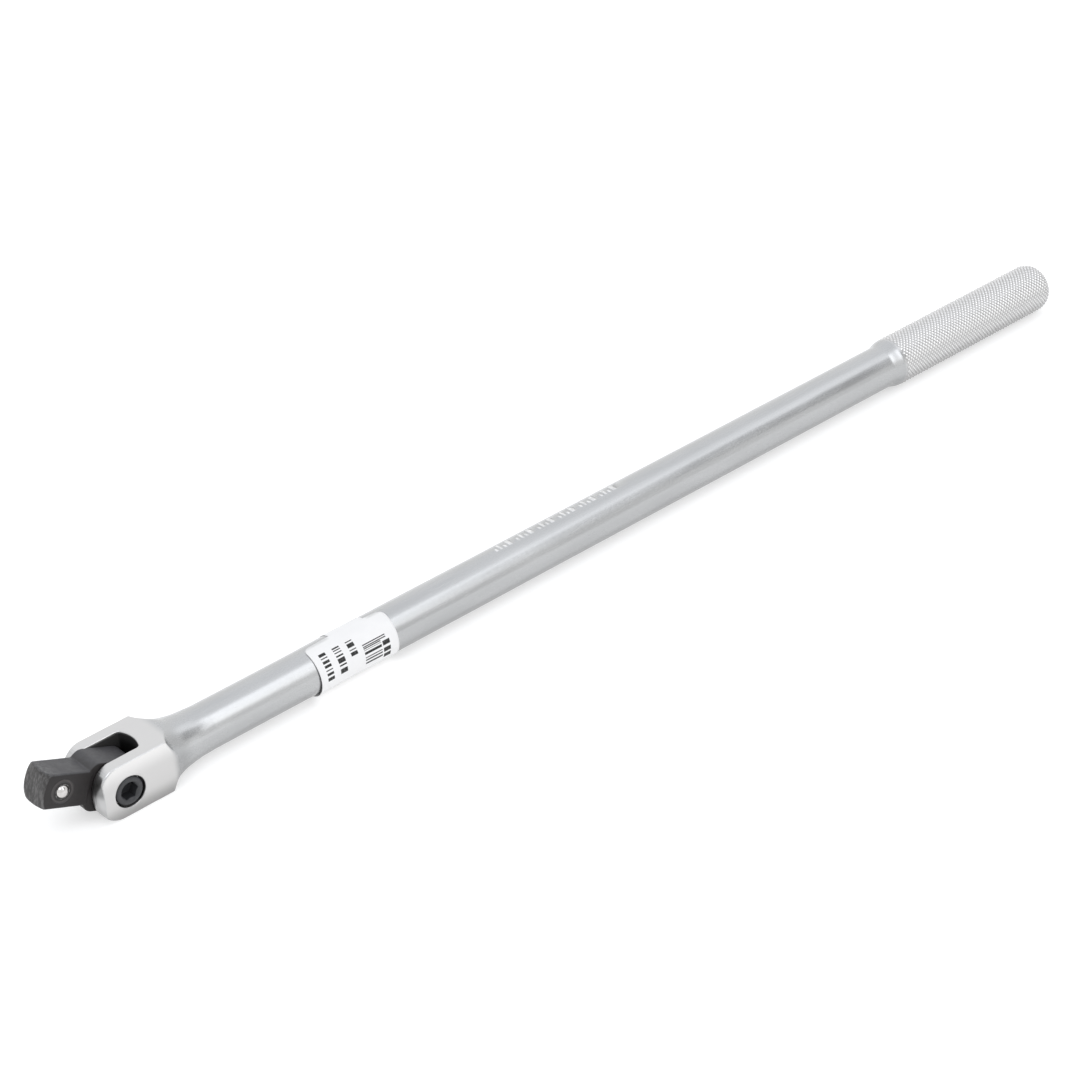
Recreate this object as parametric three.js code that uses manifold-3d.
// Flex-head breaker bar with a half-inch square drive, 510 mm long when straight.
//
// Millimetres, +Z up. +X runs along the bar from the hinge to the grip, and the hinge axis is
// parallel to Y. Every piece is laid out from the hinge, at x = 0, z = 0; the last lines move
// the whole bar so that its origin is below the middle of its box, on the bench it lies on.
// The front of the bar is its -Y side, with the screw's head and the ball in the drive.

import * as THREE from 'three';
import { mergeVertices } from 'three/addons/utils/BufferGeometryUtils.js';
import Module from 'manifold-3d';

// ---- Driving dimensions -------------------------------------------------------------------

const STRAIGHT_LENGTH = 510; // drive tip to grip end with the head in line with the bar
const DRIVE_SQUARE = 12.7; // half-inch drive, across flats
const HEAD_REACH = 31.1; // hinge axis to drive tip
const HEAD_TILT = THREE.MathUtils.degToRad(23.1); // drive tip raised from the bar's line
const GAP = 0.3; // clearance between pieces that touch or slide
const BAR_Z = 0.5; // the bar's own axis lies this far above the hinge

// Handle: shaft and grip
const GRIP_END = STRAIGHT_LENGTH - HEAD_REACH;
const NECK_R = 8.65;
const SHAFT_R = 8.87;
const GRIP_R = 10.2;
const NECK_END = 80; // the shaft starts to thicken here
const SHAFT_START = 100;
const GRIP_RAMP_START = 380;
const GRIP_RAMP_END = 386;
const GRIP_END_ROUND = 6; // how far the rounded end reaches back along the grip
const GRIP_FLAT_R = 4.5; // flat disc left in the middle of the rounded end

// Handle: fork
const FORK_HALF_HEIGHT = 10.5;
const FORK_Z = 1; // the middle of the fork's height lies this far above the hinge
const FORK_HALF_WIDTH = 12; // at mid-height
const FORK_SIDE_BULGE = 0.8; // the outer sides are that much narrower at top and bottom
const EAR_TIP = -12.1;
const EAR_ROUND_START = -4; // the ears' top and bottom faces end here
const EAR_BEVEL_LENGTH = 2; // the ears' outer corners are cut back, seen from above
const EAR_BEVEL_WIDTH = 5;
// The round neck grows into the fork along a Bezier curve through these [x, radius] points,
// steep at the fork and level at the neck.
const FLARE_CURVE = [[16.4, 16.5], [18.2, NECK_R + 2.5], [25, NECK_R + 0.3], [39, NECK_R]];
const FLARE_R = FLARE_CURVE[0][1];
const FLARE_END = FLARE_CURVE[3][0];
const SLOT_WIDTH = 12.8;
const SLOT_ROOT_SIDE = 8.9; // closed end of the slot, at its side walls
const SLOT_ROOT_MIDDLE = 10.6; // and at its middle

// Swivel head
const HUB_R = 9.4;
const HUB_WIDTH = SLOT_WIDTH - 2 * GAP;
const TONGUE_HALF_HEIGHT = 9;
const TONGUE_END = 10; // distance from the hinge at which the tongue starts to narrow
const SHOULDER_END = 14.6; // and at which it has narrowed to the square
const SQUARE_START = 13.3; // clear of the ears, whose slot is hardly wider than the square
const SQUARE_EDGE_CHAMFER = 0.6;
const TIP_FLAT_R = 5.6; // flat disc left in the middle of the drive's rounded tip
const TIP_ROUND = 3.6; // how far the rounding reaches back along the square's corners

// Hinge screw
const SCREW_HEAD_R = 5.45;
const SCREW_HEAD_THICK = 2.6;
const SCREW_RECESS = 0.5; // head below the fork's side
const SHOULDER_R = 4;
const THREAD_R = 3.6;
const THREAD_END = 10.6;
const SOCKET_FLATS = 6;
const SOCKET_DEPTH = 4.6;
const COUNTERBORE_R = SCREW_HEAD_R + 0.55;

// Ball and spring that hold a socket on the drive
const BALL_R = 2.6;
const BALL_CENTRE_DEPTH = 1.1; // below the front face of the square
const BALL_TO_TIP = 7.2;
const BALL_LIP_R = 2.5; // the mouth of the bore is staked in to keep the ball
const BALL_LIP_DEPTH = 0.6;
const BALL_BORE_DEPTH = 10;
const BALL_SPRING = { wire: 0.6, radius: 2.1, turns: 5.5 };

// Ball and spring that press on the hub and hold the head where it is put
const FRICTION_BALL_R = 3;
const FRICTION_BORE_END = 27;
const FRICTION_SPRING = { wire: 0.9, radius: 2.5, turns: 6 };

// Paper label around the shaft
const LABEL_START = 83;
const LABEL_END = 119;
const LABEL_THICK = 0.3;
const LABEL_FROM = THREE.MathUtils.degToRad(85); // angles from +Y towards +Z
const LABEL_TO = THREE.MathUtils.degToRad(258);
const LABEL_TAB_START = 95.4; // a narrower tab carries on over the top of the shaft
const LABEL_TAB_END = 111;
const LABEL_TAB_FROM = THREE.MathUtils.degToRad(24);

// Facets
const SHAFT_SEGMENTS = 56;
const BORE_SEGMENTS = 32;
const SPRING_SIDES = 8;
const SPRING_STEPS_PER_TURN = 14;
const MARGIN = 1; // how far a cutter runs past what it cuts

// ---- Materials ----------------------------------------------------------------------------

const satinChrome = { color: 0xc9cccd, roughness: 0.32, metalness: 1 };
const blackSteel = { color: 0x3b3a3c, roughness: 0.5, metalness: 0.7 };
const screwSteel = { color: 0x2a2b2e, roughness: 0.45, metalness: 0.7 };
const ballSteel = { color: 0xd8d8d4, roughness: 0.15, metalness: 1 };
const springSteel = { color: 0x8d9094, roughness: 0.35, metalness: 1 };
const labelPaper = { color: 0xf2f2ef, roughness: 0.75, metalness: 0 };

// ---- Solids -------------------------------------------------------------------------------

const wasm = await Module();
wasm.setup();

function toSolid(geometry) {
  const bare = geometry.clone();
  bare.deleteAttribute('normal');
  bare.deleteAttribute('uv');
  const merged = mergeVertices(bare);
  const index = merged.index.array;
  const triangles = [];
  for (let i = 0; i < index.length; i += 3) {
    const [a, b, c] = index.slice(i, i + 3);
    if (a !== b && b !== c && c !== a) {
      triangles.push(a, b, c);
    }
  }
  return new wasm.Manifold(new wasm.Mesh({
    numProp: 3,
    vertProperties: new Float32Array(merged.attributes.position.array),
    triVerts: new Uint32Array(triangles),
  }));
}

function toGeometry(solid) {
  const mesh = solid.getMesh();
  const geometry = new THREE.BufferGeometry();
  geometry.setAttribute('position', new THREE.BufferAttribute(mesh.vertProperties, 3));
  geometry.setIndex(new THREE.BufferAttribute(mesh.triVerts, 1));
  return geometry;
}

function makeMesh(name, geometry, look) {
  const mesh = new THREE.Mesh(geometry, new THREE.MeshStandardMaterial(look));
  mesh.geometry.computeVertexNormals();
  mesh.name = name;
  return mesh;
}

// A round solid about the X axis; the profile holds [x, radius] pairs in order of rising x.
function turnedAlongX(profile, segments) {
  const points = profile.map(([x, radius]) => new THREE.Vector2(radius, x));
  return new THREE.LatheGeometry(points, segments).rotateZ(-Math.PI / 2);
}

// A round solid about the Y axis; the profile holds [y, radius] pairs in order of rising y.
function turnedAlongY(profile, segments = BORE_SEGMENTS) {
  const points = profile.map(([y, radius]) => new THREE.Vector2(radius, y));
  return new THREE.LatheGeometry(points, segments);
}

// A flat outline drawn in X and Y, pulled along +Z.
function extruded(outline, depth, curveSegments) {
  return new THREE.ExtrudeGeometry(outline, { depth, bevelEnabled: false, curveSegments });
}

// A flat outline drawn in X and Z, made solid to the same distance on both sides of y = 0.
function slabAcrossY(outline, width, curveSegments = 12) {
  return extruded(outline, width, curveSegments).translate(0, 0, -width / 2).rotateX(Math.PI / 2);
}

// A flat outline drawn in X and Y, made solid to the same distance on both sides of z = 0.
function slabAcrossZ(outline, height, curveSegments = 12) {
  return extruded(outline, height, curveSegments).translate(0, 0, -height / 2);
}

// Turns what was drawn in X and Y and pulled along Z, so that it runs along X with Z up.
function alongX(geometry) {
  return geometry.rotateX(Math.PI / 2).rotateZ(Math.PI / 2);
}

function rod(radius, fromY, toY) {
  return toSolid(turnedAlongY([[fromY, 0], [fromY, radius], [toY, radius], [toY, 0]]));
}

// A coil spring along +X from x = 0, with its wire's outside `length` long from end to end.
class Coil extends THREE.Curve {
  constructor(length, { wire, radius, turns }) {
    super();
    this.pitchLength = length - wire;
    this.start = wire / 2;
    this.radius = radius;
    this.turns = turns;
  }

  getPoint(t) {
    const angle = t * this.turns * 2 * Math.PI;
    const x = this.start + t * this.pitchLength;
    return new THREE.Vector3(x, this.radius * Math.cos(angle), this.radius * Math.sin(angle));
  }
}

function coilSpring(length, spring) {
  const section = new THREE.Shape().absarc(0, 0, spring.wire / 2, 0, 2 * Math.PI);
  return new THREE.ExtrudeGeometry(section, {
    extrudePath: new Coil(length, spring),
    steps: Math.round(spring.turns * SPRING_STEPS_PER_TURN),
    curveSegments: SPRING_SIDES / 2,
  });
}

// ---- Handle: fork, neck, shaft and grip in one forging -------------------------------------

function handleProfile() {
  const flare = new THREE.CubicBezierCurve(...FLARE_CURVE.map(([x, r]) => new THREE.Vector2(x, r)));
  const profile = [[EAR_TIP - MARGIN, 0], [EAR_TIP - MARGIN, FLARE_R]];
  flare.getPoints(16).forEach((p) => profile.push([p.x, p.y]));
  profile.push([NECK_END, NECK_R], [SHAFT_START, SHAFT_R]);
  profile.push([GRIP_RAMP_START, SHAFT_R], [GRIP_RAMP_END, GRIP_R]);
  const steps = 8;
  for (let i = 0; i <= steps; i += 1) {
    const angle = (i / steps) * (Math.PI / 2);
    const x = GRIP_END - GRIP_END_ROUND * (1 - Math.sin(angle));
    profile.push([x, GRIP_FLAT_R + (GRIP_R - GRIP_FLAT_R) * Math.cos(angle)]);
  }
  profile.push([GRIP_END, 0]);
  return profile;
}

// The fork seen from its side: flat top and bottom, ears rounded about the hinge.
function earOutline() {
  const top = FORK_Z + FORK_HALF_HEIGHT;
  const bottom = FORK_Z - FORK_HALF_HEIGHT;
  const bend = EAR_TIP + 3.5;
  const fullness = 0.59;
  return new THREE.Shape()
    .moveTo(FLARE_END, bottom)
    .lineTo(FLARE_END, top)
    .lineTo(EAR_ROUND_START, top)
    .bezierCurveTo(bend, top, EAR_TIP, fullness * top, EAR_TIP, 0)
    .bezierCurveTo(EAR_TIP, fullness * bottom, bend, bottom, EAR_ROUND_START, bottom);
}

// The fork seen from above: straight sides, and ears whose outer corners are bevelled.
function forkPlan() {
  const side = FORK_HALF_WIDTH;
  const bevelStart = EAR_TIP + EAR_BEVEL_LENGTH;
  const tip = new THREE.QuadraticBezierCurve(
    new THREE.Vector2(bevelStart, side),
    new THREE.Vector2(EAR_TIP + 0.25 * EAR_BEVEL_LENGTH, side - 0.35 * EAR_BEVEL_WIDTH),
    new THREE.Vector2(EAR_TIP, side - EAR_BEVEL_WIDTH),
  ).getPoints(6);
  const mirrored = tip.map((p) => new THREE.Vector2(p.x, -p.y)).reverse();
  return new THREE.Shape([
    new THREE.Vector2(bevelStart, -side - MARGIN),
    new THREE.Vector2(FLARE_END, -side - MARGIN),
    new THREE.Vector2(FLARE_END, side + MARGIN),
    new THREE.Vector2(bevelStart, side + MARGIN),
    ...tip,
    ...mirrored,
  ]);
}

// The fork's cross-section, drawn in Y (across) and Z (up) with slightly crowned sides.
function forkSection() {
  const top = FORK_HALF_HEIGHT + MARGIN;
  const edge = FORK_HALF_WIDTH - FORK_SIDE_BULGE;
  const crown = FORK_HALF_WIDTH + FORK_SIDE_BULGE;
  return new THREE.Shape()
    .moveTo(-edge, -top)
    .lineTo(edge, -top)
    .quadraticCurveTo(crown, 0, edge, top)
    .lineTo(-edge, top)
    .quadraticCurveTo(-crown, 0, -edge, -top);
}

function forkBlock() {
  const length = FLARE_END - EAR_TIP + 2 * MARGIN;
  const bar = alongX(extruded(forkSection(), length, 8)).translate(EAR_TIP - MARGIN, 0, FORK_Z);
  const ears = toSolid(slabAcrossY(earOutline(), 4 * FORK_HALF_WIDTH));
  const plan = toSolid(slabAcrossZ(forkPlan(), 4 * FORK_HALF_HEIGHT, 6));
  return toSolid(bar).intersect(ears).intersect(plan);
}

function slotCutter() {
  const half = SLOT_WIDTH / 2;
  const start = EAR_TIP - 3 * MARGIN;
  const outline = new THREE.Shape()
    .moveTo(start, -half)
    .lineTo(SLOT_ROOT_SIDE, -half)
    .quadraticCurveTo(2 * SLOT_ROOT_MIDDLE - SLOT_ROOT_SIDE, 0, SLOT_ROOT_SIDE, half)
    .lineTo(start, half);
  const straight = toSolid(slabAcrossZ(outline, 4 * FORK_HALF_HEIGHT));
  return straight.add(rod(HUB_R + GAP, -half, half)); // round pocket for the back of the hub
}

function screwHoles() {
  const outside = FORK_HALF_WIDTH + MARGIN;
  const seat = -FORK_HALF_WIDTH + SCREW_RECESS + SCREW_HEAD_THICK + GAP;
  return rod(COUNTERBORE_R, -outside, seat)
    .add(rod(SHOULDER_R + GAP, seat - MARGIN, 0))
    .add(rod(THREAD_R + GAP, 0, outside));
}

function frictionBore() {
  const radius = FRICTION_BALL_R + GAP;
  const drillPoint = 1.5;
  return toSolid(turnedAlongX([
    [0, 0],
    [0, radius],
    [FRICTION_BORE_END, radius],
    [FRICTION_BORE_END + drillPoint, 0],
  ], BORE_SEGMENTS));
}

function handleBar() {
  const turned = toSolid(turnedAlongX(handleProfile(), SHAFT_SEGMENTS).translate(0, 0, BAR_Z));
  const barStart = FLARE_END - MARGIN;
  const barLength = GRIP_END + MARGIN - barStart;
  const aroundBar = new THREE.BoxGeometry(barLength, 2 * FORK_HALF_WIDTH, 2 * FORK_HALF_WIDTH);
  aroundBar.translate(barStart + barLength / 2, 0, BAR_Z);
  const solid = turned
    .intersect(forkBlock().add(toSolid(aroundBar)))
    .subtract(slotCutter())
    .subtract(screwHoles())
    .subtract(frictionBore());
  return makeMesh('handle_bar', toGeometry(solid), satinChrome);
}

// ---- Swivel head, drawn in line with the bar and pointing to -X -----------------------------

function tongueOutline() {
  const tangentX = Math.sqrt(HUB_R ** 2 - TONGUE_HALF_HEIGHT ** 2);
  const angle = Math.atan2(TONGUE_HALF_HEIGHT, -tangentX);
  const flat = DRIVE_SQUARE / 2 - SQUARE_EDGE_CHAMFER;
  const steep = SHOULDER_END - 0.25 * (SHOULDER_END - TONGUE_END);
  const full = SHOULDER_END - 0.45 * (SHOULDER_END - TONGUE_END);
  const rise = flat + 0.5 * (TONGUE_HALF_HEIGHT - flat);
  return new THREE.Shape()
    .moveTo(-SHOULDER_END, -flat)
    .bezierCurveTo(-steep, -rise, -full, -TONGUE_HALF_HEIGHT, -TONGUE_END, -TONGUE_HALF_HEIGHT)
    .lineTo(-tangentX, -TONGUE_HALF_HEIGHT)
    .absarc(0, 0, HUB_R, -angle, angle, false)
    .lineTo(-TONGUE_END, TONGUE_HALF_HEIGHT)
    .bezierCurveTo(-full, TONGUE_HALF_HEIGHT, -steep, rise, -SHOULDER_END, flat);
}

// The square bar of the drive, with its tip turned round in a lathe.
function driveSquare() {
  const half = DRIVE_SQUARE / 2;
  const corner = half - SQUARE_EDGE_CHAMFER;
  const aroundCorners = half * Math.SQRT2 + MARGIN;
  const outline = new THREE.Shape([
    [corner, -half], [half, -corner], [half, corner], [corner, half],
    [-corner, half], [-half, corner], [-half, -corner], [-corner, -half],
  ].map(([x, y]) => new THREE.Vector2(x, y)));
  const length = HEAD_REACH + MARGIN - SQUARE_START;
  const bar = extruded(outline, length, 1).translate(0, 0, SQUARE_START).rotateY(-Math.PI / 2);
  const rounding = new THREE.QuadraticBezierCurve(
    new THREE.Vector2(-HEAD_REACH, TIP_FLAT_R),
    new THREE.Vector2(-HEAD_REACH + 0.2 * TIP_ROUND, (TIP_FLAT_R + 3 * aroundCorners) / 4),
    new THREE.Vector2(-HEAD_REACH + TIP_ROUND, aroundCorners),
  );
  const turned = turnedAlongX([
    [-HEAD_REACH, 0],
    ...rounding.getPoints(6).map((p) => [p.x, p.y]),
    [0, aroundCorners],
    [0, 0],
  ], SHAFT_SEGMENTS);
  return toSolid(bar).intersect(toSolid(turned));
}

function retainingBore() {
  const face = -DRIVE_SQUARE / 2;
  const radius = BALL_R + GAP;
  const bore = turnedAlongY([
    [face - MARGIN, 0],
    [face - MARGIN, BALL_LIP_R],
    [face, BALL_LIP_R],
    [face + BALL_LIP_DEPTH, radius],
    [face + BALL_BORE_DEPTH, radius],
    [face + BALL_BORE_DEPTH, 0],
  ]);
  return toSolid(bore.translate(-(HEAD_REACH - BALL_TO_TIP), 0, 0));
}

function swivelHead() {
  const tongue = toSolid(slabAcrossY(tongueOutline(), HUB_WIDTH, 16));
  const solid = tongue
    .add(driveSquare())
    .subtract(rod(SHOULDER_R + GAP, -HUB_WIDTH, HUB_WIDTH))
    .subtract(retainingBore());
  return makeMesh('swivel_head', toGeometry(solid), blackSteel);
}

function retainingBall() {
  const mesh = makeMesh('retaining_ball', new THREE.SphereGeometry(BALL_R, 24, 16), ballSteel);
  mesh.position.set(-(HEAD_REACH - BALL_TO_TIP), -DRIVE_SQUARE / 2 + BALL_CENTRE_DEPTH, 0);
  return mesh;
}

function retainingSpring() {
  const start = BALL_CENTRE_DEPTH + BALL_R + GAP;
  const length = BALL_BORE_DEPTH - GAP - start;
  const mesh = makeMesh('retaining_spring', coilSpring(length, BALL_SPRING), springSteel);
  mesh.rotation.z = Math.PI / 2; // turns the coil's axis from +X to +Y
  mesh.position.set(-(HEAD_REACH - BALL_TO_TIP), -DRIVE_SQUARE / 2 + start, 0);
  return mesh;
}

// ---- Hinge screw: flat head with a hexagon socket, shoulder, threaded end -------------------

function hingeScrew() {
  const top = -FORK_HALF_WIDTH + SCREW_RECESS;
  const underHead = top + SCREW_HEAD_THICK;
  const shoulderEnd = SLOT_WIDTH / 2 - GAP;
  const edge = 0.5;
  const body = toSolid(turnedAlongY([
    [top, 0],
    [top, SCREW_HEAD_R - edge],
    [top + edge, SCREW_HEAD_R],
    [underHead, SCREW_HEAD_R],
    [underHead, SHOULDER_R],
    [-GAP, SHOULDER_R],
    [-GAP, THREAD_R],
    [THREAD_END - edge, THREAD_R],
    [THREAD_END, THREAD_R - edge],
    [THREAD_END, 0],
  ]));
  const hubShoulder = rod(SHOULDER_R, -2 * GAP, shoulderEnd);
  const socketR = SOCKET_FLATS / Math.sqrt(3);
  const socket = new THREE.CylinderGeometry(socketR, socketR, SOCKET_DEPTH + MARGIN, 6);
  socket.rotateY(Math.PI / 6).translate(0, top - MARGIN + (SOCKET_DEPTH + MARGIN) / 2, 0);
  const solid = body.add(hubShoulder).subtract(toSolid(socket));
  return makeMesh('hinge_screw', toGeometry(solid), screwSteel);
}

// ---- Ball and spring in the bore at the closed end of the slot ------------------------------

function frictionBall() {
  const mesh = makeMesh('friction_ball', new THREE.SphereGeometry(FRICTION_BALL_R, 24, 16), ballSteel);
  mesh.position.set(HUB_R + GAP + FRICTION_BALL_R, 0, 0);
  return mesh;
}

function frictionSpring() {
  const start = HUB_R + 2 * GAP + 2 * FRICTION_BALL_R;
  const length = FRICTION_BORE_END - GAP - start;
  const mesh = makeMesh('friction_spring', coilSpring(length, FRICTION_SPRING), springSteel);
  mesh.position.set(start, 0, 0);
  return mesh;
}

// ---- Paper label ----------------------------------------------------------------------------

// A piece of the sheet between two places along the shaft and two angles around it.
function paperBand(start, end, from, to) {
  const inner = SHAFT_R + GAP;
  const outer = inner + LABEL_THICK;
  const band = new THREE.Shape()
    .absarc(0, 0, outer, from, to, false)
    .absarc(0, 0, inner, to, from, true);
  return toSolid(alongX(extruded(band, end - start, 18)).translate(start, 0, BAR_Z));
}

function shaftLabel() {
  const overlap = 0.1;
  const sheet = paperBand(LABEL_START, LABEL_END, LABEL_FROM, LABEL_TO);
  const tab = paperBand(LABEL_TAB_START, LABEL_TAB_END, LABEL_TAB_FROM, LABEL_FROM + overlap);
  return makeMesh('size_label', toGeometry(sheet.add(tab)), labelPaper);
}

// ---- Assembly -------------------------------------------------------------------------------

const head = new THREE.Group();
head.add(swivelHead(), retainingBall(), retainingSpring());
head.rotation.y = HEAD_TILT;

const fromHinge = new THREE.Group();
fromHinge.add(handleBar(), hingeScrew(), frictionBall(), frictionSpring(), shaftLabel(), head);

const breakerBar = new THREE.Group();
breakerBar.add(fromHinge);
breakerBar.updateMatrixWorld(true);
const box = new THREE.Box3().setFromObject(breakerBar, true);
const middle = box.getCenter(new THREE.Vector3());
fromHinge.position.set(-middle.x, -middle.y, -box.min.z);

export default breakerBar;
